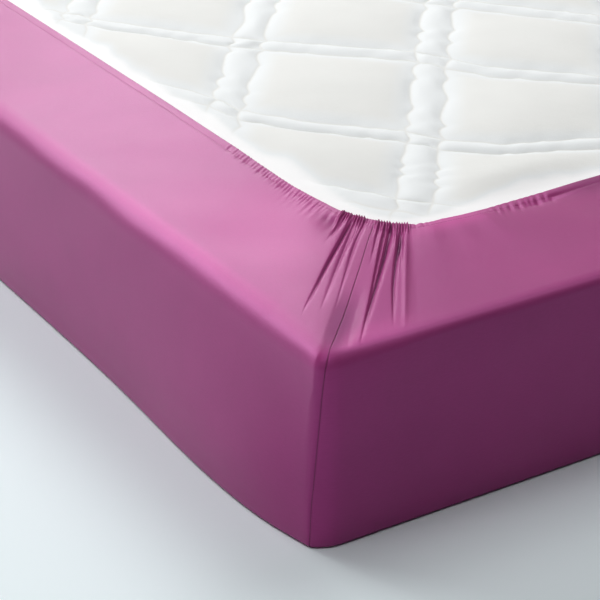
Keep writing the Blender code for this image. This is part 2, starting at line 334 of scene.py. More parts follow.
def pleats(distance, share, scale):
    """Height of the gathered cloth over the flat band."""
    share = np.broadcast_to(share, distance.shape)
    spread = GATHER + (1 - GATHER) * share
    left = smooth((distance - GATHER_LEFT) / (0.032 + 0.02 * share))
    edge = follow(GATHER_RIGHT, share)
    right = 1 - smooth((distance - edge + 0.002) / 0.016)
    rise = follow(GATHER_RISE, share) * (1 - 0.60 * smooth((distance - 0.030) / 0.057))
    ridge = bell((distance - edge) * spread, 0.0, 0.0026) * smooth((share - 0.05) / 0.1)
    ridge = 0.0006 * ridge * (1 - smooth((share - 0.80) / 0.2))
    lift = smooth((distance + 0.270) / 0.200)
    height = rise * lift * right + ridge
    cut = np.zeros_like(height)
    for groove in GROOVES:
        along = np.clip(share / groove.path[-1][0], 0.0, 1.0)
        away = (distance - follow(groove.path, share)) * spread
        taper = 1 - 0.5 * along
        flank = np.where(away < 0, groove.steep * taper, groove.slope * taper)
        deep = groove.depth * (1 - along**2.4) * (0.35 + 0.65 * smooth(share / 0.10))
        cut = np.maximum(cut, deep * bell(away, 0.0, flank, 1.4))
    # A deep pocket near the hem, right of the seam, and a hollow beside the fold
    pocket = np.exp(-(((distance - 0.0700) / 0.0040) ** 2) - (((share - 0.23) / 0.09) ** 2))
    cut = cut + 0.0026 * pocket
    away = (distance - 0.0260 - 0.010 * (share - 0.80)) * spread
    sink = 0.0021 * bell(away, 0.0, np.where(away < 0, 0.0340, 0.0065))
    sink = sink * smooth((share - 0.56) / 0.22) * (1 - smooth((share - 0.93) / 0.12))
    return scale * (height - cut * left * right - sink)


def ribs(distance, share, from_hem, seed):
    """Small ribs of the cloth that the elastic draws together at the corner."""
    t = distance + follow(RIB_SLANT, distance) * share
    t = t + 0.0016 * wobble(distance, 0.03, seed)
    rib = np.abs(np.sin(math.pi * t / 0.0072)) ** 0.8
    inside = window(distance, -0.100, 0.016, 0.080, 0.012)
    ribbon = bell(distance, -0.005, 0.017, 6)
    size = (1 - 0.75 * ribbon) * (1 + 0.35 * wobble(distance, 0.024, seed + 3))
    length = 0.0260 * (1 + 0.4 * wobble(distance, 0.03, seed + 4))
    fade = bell(from_hem, 0.0, length, 3) * (0.25 + 0.75 * smooth(from_hem / 0.006))
    tape = 0.0008 * ribbon * (1 - smooth((from_hem - 0.0225) / 0.0016))
    return 0.0042 * rib * inside * size * fade + tape * inside


def ruches(x, y, from_hem, distance, seed):
    """Slanting puckers beside the hem on the long side, and uneven teeth on the short one."""
    t = 0.72 * x - y
    uneven = t + 0.0018 * wobble(t, 0.021, seed)
    pucker = 2 * np.abs(np.sin(math.pi * uneven / 0.0060)) ** 0.7 - 1.25
    pucker = pucker * (0.7 + 0.5 * wobble(t, 0.016, seed + 1))
    strength = window(distance, -0.470, 0.04, -0.150, 0.03)
    along = np.clip((0.470 + distance) / 0.36, 0.0, 1.0)
    middle = 0.0070 + 0.0060 * along
    reach = np.where(from_hem < middle, 0.0095, 0.0050 + 0.0100 * along)
    profile = bell(from_hem, middle, reach, 2.2)
    long_side = 0.00100 * pucker * strength * (1 - 0.78 * along) * profile
    dimple = smooth(0.5 + 0.9 * wobble(t, 0.016, seed + 6))
    near = bell(from_hem - 0.0130, 0.006 * along, 0.0042)
    long_side = long_side - 0.0008 * dimple * near * strength * (1 - 0.85 * along)

    s = x + 0.52 * from_hem
    tooth = 0.0065 + 0.0022 * smooth((distance - 0.24) / 0.06)
    bump = np.abs(np.sin(math.pi * (s + 0.0024 * wobble(s, 0.03, seed + 2)) / tooth)) ** 0.7 - 0.6
    near_side = window(distance, 0.085, 0.02, 0.22, 0.06)
    near_side = near_side * (1 + 2.2 * bell(distance, 0.104, 0.016))
    far_side = window(distance, 0.290, 0.03, 0.405, 0.02)
    patch = 0.6 + 0.5 * wobble(s, 0.045, seed + 3)
    edge = bell(from_hem, 0.0, 0.009)
    deep = bell(from_hem, 0.013, 0.012)
    short_side = 0.0005 * bump * near_side * patch * edge + 0.0019 * bump * far_side * deep
    dark = bell(distance, 0.358, 0.035) * (0.6 + 0.4 * wobble(s, 0.014, seed + 7))
    short_side = short_side - 0.0026 * dark * bell(from_hem, 0.0190, 0.0060)
    return long_side + short_side


def long_creases(x, y, from_hem, distance, seed):
    """Wider wrinkles that run from the gathered hem into the long side's band."""
    t = 0.80 * x - y
    crease = np.sin(math.tau * (t + 0.004 * wobble(t, 0.05, seed)) / 0.0105)
    strength = window(distance, -0.34, 0.14, -0.095, 0.03)
    patch = 0.6 + 0.5 * wobble(t, 0.05, seed + 5)
    return 0.00034 * crease * strength * patch * bell(from_hem, 0.026, 0.018)


def casing(distance, from_hem, seed):
    """Tilt of the hem's casing, with the dent of its stitching."""
    tilt = follow(CASING_TILT, distance) * (1 + 0.12 * wobble(distance, 0.07, seed + 8))
    reach = CASING * np.interp(distance, (0.36, 0.42), (1.3, 2.2))
    rise = 0.0010 * tilt * smooth(from_hem / reach)
    back = smooth((from_hem - reach) / 0.110)
    dent = 0.0003 * bell(from_hem, CASING, 0.0014)
    start = 0.0008 * (1 - np.exp(-from_hem / 0.0006))
    return start + rise * (1 - back) - dent


def quarter_points(distance, pleat_scale, ruche_scale, seed, sign):
    """The cloth of one quarter: arrays of points, row by row from the hem to the floor."""
    fold_x, fold_y = outline(distance, *OUTER, fold_radius(distance))[:2]
    hem_x, hem_y = outline(hem_distance(distance), *HEM)[:2]
    length = np.hypot(fold_x - hem_x, fold_y - hem_y)
    teeth = ruches(hem_x, hem_y, np.zeros_like(distance), distance, seed) / 0.0009
    edge_shift = 0.0007 * teeth
    rows = []

    def seam(reach):
        return reach * bell(distance, SEAM_AT, 0.0007)

    def leaned(lean):
        return distance + lean * bell(distance, SEAM_AT, 0.036)

    def band(from_hem, seam_depth=0.0):
        share = from_hem / length
        moved = leaned(follow(BAND_SEAM, share))
        fold_x, fold_y = outline(moved, *OUTER, fold_radius(moved))[:2]
        hem_x, hem_y = outline(hem_distance(moved), *HEM)[:2]
        move = follow(HEM_MOVES, moved) / length
        share = share + (move + edge_shift / length * bell(from_hem, 0.0, 0.004)) * (1 - share)
        x = hem_x + (fold_x - hem_x) * share
        y = hem_y + (fold_y - hem_y) * share
        start = 0.1 + 0.9 * smooth(from_hem / 0.0080)
        gather = start * pleats(moved, from_hem / length, pleat_scale)
        small = ribs(moved, from_hem / length, from_hem, seed)
        small = small + ruche_scale * ruches(x, y, from_hem, distance, seed)
        small = small + ruche_scale * long_creases(x, y, from_hem, distance, seed)
        # A hollow at the left end of the gathers
        away = distance + 0.087
        along = np.where(away < 0, away / 0.042, away / 0.008)
        into = from_hem - 0.0360
        into = into / np.where(into < 0, 0.0095, 0.0260)
        hollow = 0.0040 * np.exp(-(along**2) - np.abs(into) ** 2.4)
        slow = 0.0007 * waves(x * sign[0], y * sign[1], 0.13, 11) * smooth(share * 4)
        slow = slow * smooth((1 - share) * 4)
        total = casing(distance, from_hem, seed) + gather + small + slow - hollow
        total = total - seam(seam_depth)
        return x, y, TOP + np.maximum(total, LOWEST)

    top_x, top_y, top_z = band(np.zeros_like(distance))
    under = TOP - HEM_THICKNESS
    for inward, drop in HEM_EDGE:
        share = inward / length
        x = top_x + (fold_x - hem_x) * share
        y = top_y + (fold_y - hem_y) * share
        rows.append((x, y, top_z + (under - top_z) * drop))
    for from_hem in BESIDE_HEM:
        depth = 0.0005 * smooth((from_hem - CASING) / 0.002)
        rows.append(band(np.full_like(distance, from_hem), depth))
    for share in [k / BAND_STEPS for k in range(1, BAND_STEPS + 1)]:
        rows.append(band(BESIDE_HEM[-1] + (length - BESIDE_HEM[-1]) * share, 0.0005))

    def skin(z, turned, outward, up, inward=0.0):
        """One row at a height round the fold, down the wall or round its foot. "turned" goes
        from 0 on the band to 1 on the wall, and the cloth faces "outward" and "up".
        """
        moved = leaned(follow(SEAM_PATH, z) - SEAM_AT)
        fold = fold_radius(moved)
        x, y, out_x, out_y = outline(moved, *OUTER, fold)
        wall_x, wall_y, wall_out_x, wall_out_y = wall_corner(moved, float(np.mean(z)))
        round_x, round_y = outline(moved, *OUTER)[:2]
        reach = fold * turned - inward
        x = x + out_x * reach + (wall_x - round_x) * turned
        y = y + out_y * reach + (wall_y - round_y) * turned
        out_x = out_x + (wall_out_x - out_x) * turned
        out_y = out_y + (wall_out_y - out_y) * turned
        slow = 0.0011 * waves(x * sign[0], y * sign[1] + 1.7 * z, 0.17, 5)
        slow = slow * smooth((TOP - z) / 0.012) * smooth(z / 0.03)
        move = (slow - seam(0.0004)) * outward
        reach = wall_swell(y, np.maximum(z, BASE_RADIUS), out_x, 4) + move
        rows.append((x + out_x * reach, y + out_y * reach, z + move * up))

    for turn in FOLD_TURNS:
        side, up = sine_cosine(turn)
        skin(TOP - fold_radius(distance) * (1 - up), side, side, up)
    for height in WALL_HEIGHTS:
        skin(height, 1.0, 1.0, 0.0)
    for turn in FOOT_TURNS:
        down, side = sine_cosine(turn)
        skin(FOOT_RADIUS * (1 - down), 1.0, side, 0.0, FOOT_RADIUS * (1 - side))
    return np.array([np.stack([x, y, z * np.ones_like(x)], 1) for x, y, z in rows])


# Soft areas of painted highlight and painted shade on the cloth: distance along the outline and
# reach to its left and right, share of the way from the hem to the fold (over 1 past it) and
# reach, and how much lighter or darker
PAINTED_LIGHT_AND_SHADE = (
    (0.003, (0.028, 0.026), 0.84, 0.19, -0.58),
    (0.034, (0.021, 0.060), 0.97, 0.09, 0.36),
    (-0.330, (0.330, 0.260), 1.03, 0.06, 0.44),
    (0.108, (0.018, 0.060), 0.50, 0.480, -0.15),
    (-0.010, (0.015, 0.011), 1.14, 0.14, 0.20),
    (0.0690, (0.0045, 0.005), 0.23, 0.085, -0.40),
    (-0.110, (0.030, 0.020), 0.150, 0.050, -0.30),
    (-0.200, (0.170, 0.110), 0.50, 0.600, 0.40),
    (0.190, (0.095, 0.095), 0.04, 0.105, 0.62),
    (0.450, (0.060, 0.300), 0.05, 0.120, -0.36),
    (0.480, (0.060, 0.300), 0.50, 0.600, -0.12),
)


def whole_loop(pleat_scale, ruche_scale):
    """Rows of points all round, with each line's distance from its corner and its level."""
    distance, level = stations()
    pieces, marks, levels = [], [], []
    # Each corner's mirroring and the height of its pleats. The first is the photo's corner.
    corners = ((1, 1, False, 1.0), (-1, 1, True, 0.94), (-1, -1, False, 1.04), (1, -1, True, 0.9))
    for k, (sign_x, sign_y, backwards, uneven) in enumerate(corners):
        sign, seed = (sign_x, sign_y), 21 + 10 * k
        points = quarter_points(distance, pleat_scale * uneven, ruche_scale, seed, sign)
        points = points * (sign_x, sign_y, 1.0)
        order = slice(None, None, -1) if backwards else slice(None)
        keep = slice(0 if k == 0 else 1, -1 if k == 3 else None)
        pieces.append(points[:, order][:, keep])
        marks.append(distance[order][keep])
        levels.append(level[order][keep])
    return np.concatenate(pieces, 1), np.concatenate(marks), np.concatenate(levels)


def paint_light_and_shade(points, marks):
    """Painted shade and painted highlights on the band, from -1 to 1: painted shade where the
    gathered cloth lies deep between its neighbours, and the soft areas of PAINTED_LIGHT_AND_SHADE.
    """
    z = points[:, :, 2]
    mean = sum(np.roll(z, k, 1) for k in range(-8, 9)) / 17
    # Painted shade in the creases, where the cloth lies under the mean of its neighbours
    deep = smooth((mean - z - 0.0002) / 0.0026) * (np.abs(marks + 0.015) < 0.1)
    deep[WALL_ROW:] = 0.0
    away = (points - points[EDGE_ROW])[:, :, :2]
    from_hem = np.linalg.norm(away, axis=2)
    past = np.maximum(np.arange(len(points)) - FOLD_ROW, 0.0)
    share = np.minimum(from_hem / from_hem[FOLD_ROW], 1.0) + 0.035 * past[:, None]
    total = -deep
    for centre, reach, row, depth, amount in PAINTED_LIGHT_AND_SHADE:
        along = (marks - centre) / np.where(marks < centre, reach[0], reach[1])
        across = (share - row) / depth
        total = total + amount * np.exp(-np.abs(along) ** 3 - np.abs(across) ** 3)
    total[WALL_ROW:] = 0.0
    return np.clip(total, -1.0, 1.0)


def loop_faces(levels, rows):
    """Numbers of the points that are kept, and faces that join each row to the next."""
    columns = len(levels)
    number = np.full((rows, columns), -1)
    count = 0
    kept = []
    for r in range(rows):
        most = TO_HEM if r <= STEP_ROW else TO_FOLD if r <= WALL_ROW else TO_FLOOR
        kept.append(np.flatnonzero(levels <= most))
        number[r, kept[r]] = count + np.arange(len(kept[r]))
        count += len(kept[r])
    faces = []
    for r in range(rows - 1):
        lower = kept[r + 1]
        for c, d in zip(lower, np.roll(lower, -1)):
            span = range(c, d + 1) if d > c else (*range(c, columns), *range(d + 1))
            upper = [int(number[r, k]) for k in span if number[r, k] >= 0]
            faces.append((*upper, int(number[r + 1, d]), int(number[r + 1, c])))
    faces.append([int(n) for n in number[-1, kept[-1]]])
    return number, faces


def add_object(name, data):
    """Puts an object into the scene."""
    obj = bpy.data.objects.new(name, data)
    bpy.context.scene.collection.objects.link(obj)
    return obj


# Materials


def new_material(name):
    """A material with its tree of nodes and its main shader."""
    material = bpy.data.materials.new(name)
    material.use_nodes = True
    tree = material.node_tree
    return material, tree, tree.nodes["Principled BSDF"]


def set_inputs(tree, node, values):
    """Sets a node's inputs by name, or links them where the value is another node's output."""
    for name, value in values.items():
        if isinstance(value, bpy.types.NodeSocket):
            tree.links.new(value, node.inputs[name])
        else:
            node.inputs[name].default_value = value


def add_node(tree, kind, output, values, **properties):
    """Adds a shader node, sets its properties and then its inputs, and gives an output."""
    node = tree.nodes.new("ShaderNode" + kind)
    for name, value in properties.items():
        setattr(node, name, value)
    set_inputs(tree, node, values)
    return node.outputs[output]


def attribute(tree, name):
    """A value that the mesh carries at its points."""
    return add_node(tree, "Attribute", "Fac", {}, attribute_name=name)


def noise(tree, place, scale, detail):
    values = {"Vector": place, "Scale": scale, "Detail": detail}
    return add_node(tree, "TexNoise", "Fac", values)


def mix(tree, factor, first, second, blend="MIX"):
    """Goes from the first colour to the second, or multiplies them."""
    values = {"Factor": factor, "A": first, "B": second}
    return add_node(tree, "Mix", "Result", values, data_type="RGBA", blend_type=blend)


def ramp(tree, source, low, high, start, end):
    """Colour between two tones as a value goes from one level to another."""
    colour = add_node(tree, "ValToRGB", "Color", {"Fac": source})
    first, last = colour.node.color_ramp.elements
    first.position, first.color = start, low
    last.position, last.color = end, high
    return colour


def bump(tree, height, strength, distance, below=None):
    """Relief from a height, on top of another relief where there is one."""
    values = {"Height": height, "Strength": strength, "Distance": distance}
    if below is not None:
        values["Normal"] = below
    return add_node(tree, "Bump", "Normal", values)


def shade(colour, factor):
    return tuple(min(max(c * factor, 0.0), 1.0) for c in colour[:3]) + (1.0,)


def cotton_satin(settings):
    """Plum cotton satin: fine weave, slow changes of tone, seam lines darker for the joint and
    painted shade, and painted shade and highlights from the "tone" attribute.
    """
    material, tree, shader = new_material("plum_cotton_satin")
    base = tuple(settings.colour) + (1.0,)
    cloth = add_node(tree, "UVMap", "UV", {}, uv_map="cloth")
    place = add_node(tree, "TexCoord", "Object", {})
    slow = noise(tree, place, 9.0, 3.0)
    tone = ramp(tree, slow, shade(base, 0.95), shade(base, 1.05), 0.35, 0.68)
    weave = add_node(
        tree,
        "TexWave",
        "Fac",
        {"Vector": cloth, "Scale": 420.0, "Distortion": 1.5, "Detail": 1.0},
        wave_type="BANDS",
        bands_direction="DIAGONAL",
    )
    stretched = add_node(tree, "Mapping", "Vector", {"Vector": cloth, "Scale": (1.0, 5.0, 1.0)})
    slub = noise(tree, stretched, 160.0, 2.0)
    threads = ramp(tree, slub, (0.95, 0.94, 0.95, 1), (1.03, 1.03, 1.03, 1), 0.3, 0.7)
    colour = mix(tree, 1.0, tone, threads, "MULTIPLY")
    # Darker along the corner seam: the seam's joint, and painted shade in its dent
    colour = mix(tree, attribute(tree, "seam_joint_and_shade"), colour, shade(base, 0.90))
    # The "tone" attribute scales the colour: painted shade in deep folds and hollows, down to about
    # a third, and painted highlights up to 1.8 times
    level = {"Value": attribute(tree, "tone"), "From Min": -1.0}
    level = add_node(tree, "MapRange", "Result", level)
    strength = ramp(tree, level, (0.30, 0.25, 0.33, 1), (1.8, 1.8, 1.8, 1), 0.0, 1.0)
    strength.node.color_ramp.elements.new(0.5).color = (1.0, 1.0, 1.0, 1.0)
    rough = {"Value": slub, "To Min": 0.36, "To Max": 0.44}
    grain = {"direction_type": "UV_MAP", "uv_map": "cloth"}
    set_inputs(tree, shader, {
        "Base Color": mix(tree, 1.0, colour, strength, "MULTIPLY"),
        "Roughness": add_node(tree, "MapRange", "Result", rough),
        "Normal": bump(tree, slub, 0.10, 0.0006, bump(tree, weave, 0.12, 0.0004)),
        "Tangent": add_node(tree, "Tangent", "Tangent", {}, **grain),
        "Anisotropic": 0.85,
        "Anisotropic Rotation": 0.25,
        "Specular IOR Level": 0.9,
        "Specular Tint": (0.98, 0.24, 0.78, 1.0),
        "Sheen Weight": 0.08,
        "Sheen Roughness": 0.40,
        "Sheen Tint": (1.0, 0.45, 0.80, 1.0),
    })
    return material


def sewing_thread(settings, name, tone):
    """Twisted thread, with its tone as a share of the cloth's."""
    material, tree, shader = new_material(name)
    base = tuple(settings.colour) + (1.0,)
    place = add_node(tree, "TexCoord", "Object", {})
    values = {"Vector": place, "Scale": 900.0}
    ply = add_node(tree, "TexWave", "Fac", values, bands_direction="DIAGONAL")
    set_inputs(tree, shader, {
        "Base Color": ramp(tree, ply, shade(base, tone), shade(base, 1.4 * tone), 0.2, 0.8),
        "Normal": bump(tree, ply, 0.4, 0.0002),
        "Roughness": 0.5,
    })
    return material


def quilted_ticking(settings):
    """Soft white knitted ticking: a cooler white on the quilting's strips, whitest beside the hem
    with a painted highlight, a little darker in the stitch lines with painted shade, and everywhere
    a little uneven in tone.
    """
    material, tree, shader = new_material("white_ticking")
    base = tuple(settings.colour) + (1.0,)
    place = add_node(tree, "TexCoord", "Object", {})
    slow = noise(tree, place, 14.0, 4.0)
    tone = ramp(tree, slow, shade(base, 0.985), shade(base, 1.01), 0.35, 0.65)
    # "white" goes to 1 on the strips and to 2 beside the hem, where it paints a highlight
    white = attribute(tree, "white")
    spread = add_node(tree, "MapRange", "Result", {"Value": white, "From Max": 2.0})
    whiter = ramp(tree, spread, (0.86, 0.885, 0.89, 1.0), (1.0, 1.0, 1.0, 1.0), 0.5, 1.0)
    cover = add_node(tree, "MapRange", "Result", {"Value": white})
    colour = mix(tree, cover, tone, whiter)
    knit = add_node(tree, "TexVoronoi", "Distance", {"Vector": place, "Scale": 650.0})
    pile = noise(tree, place, 90.0, 5.0)
    rough = {"Value": pile, "To Min": 0.72, "To Max": 0.86}
    set_inputs(tree, shader, {
        # Painted shade: a little darker along the stitch lines
        "Base Color": mix(tree, attribute(tree, "stitch"), colour, shade(base, 0.96)),
        "Roughness": add_node(tree, "MapRange", "Result", rough),
        "Normal": bump(tree, pile, 0.20, 0.0012, bump(tree, knit, 0.15, 0.0005)),
        "Sheen Weight": 0.15,
    })
    return material


def pale_floor(settings):
    """Plain pale floor with a faint change of tone."""
    material, tree, shader = new_material("pale_floor")
    base = tuple(settings.floor_colour) + (1.0,)
    slow = noise(tree, add_node(tree, "TexCoord", "Object", {}), 1.3, 2.0)
    tone = ramp(tree, slow, shade(base, 0.985), shade(base, 1.015), 0.3, 0.7)
    set_inputs(tree, shader, {"Base Color": tone, "Roughness": 0.6})
    return material


# Settings


def colour_setting(name, description, default):
    """A colour that the panel shows."""
    return bpy.props.FloatVectorProperty(
        name=name,
        description=description,
        subtype="COLOR",
        size=3,
        min=0.0,
        max=1.0,
        default=default,
    )


class SheetSettings(bpy.types.PropertyGroup):
    colour: colour_setting("Colour", "Colour of the cotton satin", (0.352, 0.045, 0.188))
    pleat_scale: bpy.props.FloatProperty(
        name="Pleat height",
        description="Height of the gathered pleats, as a share of the usual",
        default=1.0,
        min=0.2,
        max=1.3,
    )
    ruche_scale: bpy.props.FloatProperty(
        name="Puckers",
        description="Height of the small puckers beside the hem, as a share of the usual",
        default=1.0,
        min=0.0,
        max=2.0,
    )


class MattressSettings(bpy.types.PropertyGroup):
    colour: colour_setting("Colour", "Colour of the ticking", (0.840, 0.843, 0.818))
    pitch: bpy.props.FloatProperty(
        name="Stitch line spacing",
        description="Distance between the middles of neighbouring pairs of stitch lines",
        default=0.2255,
        min=0.1,
        unit="LENGTH",
    )
    pair: bpy.props.FloatProperty(
        name="Pair width",
        description="Distance between the two stitch lines of a pair",
        default=0.0375,
        min=0.01,
        unit="LENGTH",
    )
    puff: bpy.props.FloatProperty(
        name="Puff",
        description="Rise of the quilted cells over the mattress's level",
        default=0.0095,
        min=0.0,
        unit="LENGTH",
    )


class StageSettings(bpy.types.PropertyGroup):
    floor_colour: colour_setting("Floor colour", "Colour of the floor", (0.865, 0.97, 1.0))
    key_power: bpy.props.FloatProperty(
        name="Key light",
        description="Power that the smaller lights at the back and the left share out",
        default=56.7,
        min=0.0,
        unit="POWER",
    )
    fill_power: bpy.props.FloatProperty(
        name="Fill light",
        description="Power that the three large lights from above share out",
        default=63.1,
        min=0.0,
        unit="POWER",
    )


# Quilting


class Quilting:
    """The quilted face: two families of paired stitch lines, and the puffs between them.

    Places are given in the pattern's own lengths, across the first family and across the
    second, where every line is straight and the pairs are evenly spaced.
    """

    # For each family: its angle, where it starts, the length of the filling's beads along it,
    # and how far they push its stitch lines aside
    angles = (51.8, 53.0)
    starts = (0.1242, -0.4211)
    bead_lengths = (0.060, 0.047)
    scallops = (0.0080, 0.0045)
    # Depth of the stitch lines, and rise of the strips and of the knots where they cross
    stitch = 0.0006
    tube = 0.0028
    knot = 0.0034
    # How far the grid of points goes to both sides of each family's start
    grid_reach = 1.35
    # How far each pair near the gathered corner strays, at places along it
    strays = {
        0: ((-0.40, 0.0), (-0.278, -0.020), (-0.134, -0.015), (0.011, 0.002), (0.105, 0.015),
            (0.192, -0.004), (0.304, 0.017), (0.40, 0.020), (0.60, 0.0)),
        -1: ((-0.40, 0.070), (-0.242, 0.0585), (-0.190, 0.0365), (-0.123, 0.0155),
             (-0.083, -0.0115), (-0.013, -0.0155), (0.099, -0.0035), (0.149, -0.0145),
             (0.209, -0.0055), (0.315, 0.0545), (0.40, 0.070), (0.60, 0.0)),
        -2: ((-0.30, 0.070), (-0.05, 0.060), (0.13, 0.052), (0.25, 0.070), (0.60, 0.0)),
    }

    def __init__(self, settings):
        self.pitch = settings.pitch
        self.halves = (settings.pair / 2, 0.85 * settings.pair / 2)
        self.puff = settings.puff

    def nearest(self, value, start):
        """The nearest strip's number, the side of it, and the distance from its middle."""
        place = (value - start) / self.pitch
        number = np.round(place)
        return number, np.where(place < number, 1.0, -1.0), np.abs(place - number) * self.pitch

    def beads(self, other, number, side, length):
        """Rise and fall of the filling along a stitch line, from 0 to 1."""
        phase = other / length + 0.37 * number + 0.45 * wobble(other + number, 0.12, 3) + 0.2 * side
        return np.abs(np.sin(math.pi * phase)) ** 0.7

    def scallop(self, value, other, family):
        """How far the beads push a stitch line of a family aside, fading away from it."""
        number, side, away = self.nearest(value, self.starts[family])
        beads = self.beads(other, number, side, self.bead_lengths[family])
        return self.scallops[family] * (0.62 - beads) * bell(away, self.halves[family], 0.011)

    def plan(self, first, second):
        """Where places of the pattern lie on the mattress."""
        a = first + self.scallop(first, second, 0)
        b = second + self.scallop(second, first, 1)
        number = (second - self.starts[1]) / self.pitch
        for k in range(math.floor(number.min()), math.ceil(number.max()) + 1):
            weight = np.clip(1 - np.abs(number - k), 0.0, 1.0)
            stray = 0.0030 * np.sin(first / 0.07 + 2.0 * k)
            if k in self.strays:
                stray = stray + follow(self.strays[k], first)
            b = b + weight * stray
        a = a + 0.0030 * np.sin(second / 0.13 + 1.0)
        sin_a, cos_a = sine_cosine(self.angles[0])
        sin_b, cos_b = sine_cosine(self.angles[1])
        across = sin_a * cos_b + cos_a * sin_b
        return (a * cos_b + b * cos_a) / across, (b * sin_a - a * sin_b) / across

    def cut_places(self, family):
        """Places of the grid's lines across one family, closest at its stitch lines."""
        start, half = self.starts[family], self.halves[family]
        near = (-0.0040, -0.0018, -0.0006, 0.0006, 0.0018, 0.0040, 0.0070, 0.0105)
        lines = [0.0, half * 0.35, half * 0.6] + [half + away for away in near]
        steps = 11
        step = (self.pitch / 2 - lines[-1]) / steps
        lines += [lines[-1] + step * k for k in range(1, steps)]
        places = []
        count = math.ceil(self.grid_reach / self.pitch)
        for k in range(-count - 1, count + 2):
            middle = start + k * self.pitch
            places += [middle - place for place in lines[:0:-1]]
            places += [middle + place for place in lines]
            places.append(middle + self.pitch / 2)
        return sorted(places)

    def profiles(self, value, other, family):
        """Whether a place lies in a strip of one family, the strip's and the cell's profiles
        there, and how far off its stitch line and its strip are.
        """
        half = self.halves[family]
        number, side, away = self.nearest(value, self.starts[family])
        beads = self.beads(other, number, side, self.bead_lengths[family])
        inside = np.clip(1 - (away / half) ** 2, 0.0, 1.0) ** 1.2 * (0.70 + 0.45 * beads)
        out = np.maximum(away - half, 0.0)
        dome = 1 - (1 - np.clip(out / (self.pitch / 2 - half), 0.0, 1.0)) ** 2
        bulge = 0.55 * (beads - 0.6) * bell(out, 0.009, 0.009)
        edge = (1 - bell(out, 0.0, 0.013, 1.35)) * (1 + bulge)
        return away < half, inside, 0.30 * edge + 0.70 * dome, np.abs(away - half), out

    def shape(self, first, second):
        """Height, share of stitch line and share of whiter cloth at places of the pattern."""
        in_a, tube_a, cell_a, line_a, out_a = self.profiles(first, second, 0)
        in_b, tube_b, cell_b, line_b, out_b = self.profiles(second, first, 1)
        cell = (self.puff + self.stitch) * cell_a * cell_b
        strip_a = (self.tube + self.stitch) * tube_a * (1 - np.exp(-line_b / 0.006))
        strip_b = (self.tube + self.stitch) * tube_b * (1 - np.exp(-line_a / 0.006))
        knot = (self.knot + self.stitch) * tube_a * tube_b
        height = np.where(in_a & in_b, knot, np.where(in_a, strip_a, np.where(in_b, strip_b, cell)))
        line = bell(np.minimum(line_a, line_b), 0.0, 0.0018)
        white = 1 - smooth((np.minimum(out_a, out_b) - 0.004) / 0.026)
        return height - self.stitch, line, white


def hem_room(x, y):
    """How far a point lies inside the opening that the hem leaves."""
    past_x = np.abs(x) - (HEM_X - HEM_RADIUS)
    past_y = np.abs(y) - (HEM_Y - HEM_RADIUS)
    outside = np.hypot(np.maximum(past_x, 0.0), np.maximum(past_y, 0.0))
    inside = np.minimum(np.maximum(past_x, past_y), 0.0)
    return HEM_RADIUS - outside - inside


def cut_round(bm, half_x, half_y, radius, steps):
    """Trims a flat grid along the sides and corner tangents of a rounded rectangle."""
    for k in range(4 * steps):
        turn = math.tau * k / (4 * steps)
        nx, ny = math.cos(turn), math.sin(turn)
        x = math.copysign(half_x - radius, nx) + radius * nx
        y = math.copysign(half_y - radius, ny) + radius * ny
        bmesh.ops.bisect_plane(
            bm,
            geom=bm.verts[:] + bm.edges[:] + bm.faces[:],
            dist=1e-5,
            plane_co=(x, y, 0),
            plane_no=(nx, ny, 0),
            clear_outer=True,
        )


# Operators

# The camera, fitted to the photo's edges: its place from the sheet's near corner, its turn
# from the far side toward the right and its tilt down in degrees, and its lens
EYE = Vector((-HALF_X + 0.018, -HALF_Y + 0.010, TOP)) + Vector((-0.85775, -1.32153, 0.84058))
EYE_TURN = 31.9467
EYE_DOWN = 26.6402
LENS = 123.674
# The floor, a little under the cloth, and what the lights point at and how far off they are
FLOOR_SIZE = 16.0
FLOOR_LEVEL = -0.0006
LIT_PLACE = (-0.55, -0.75, 0.2)
LIGHT_DISTANCE = 5.0
# How far the quilted face goes on past the hem, before its grid is cut and after
GRID_MARGIN = 0.03
FACE_MARGIN = 0.002
# The thread, how far a seam's thread lies off the cloth, and the stitches along it
THREAD_RADIUS = 0.00028
THREAD_LIFT = 0.0003
STITCH_LENGTH = 0.0016
STITCH_PITCH = 0.0028


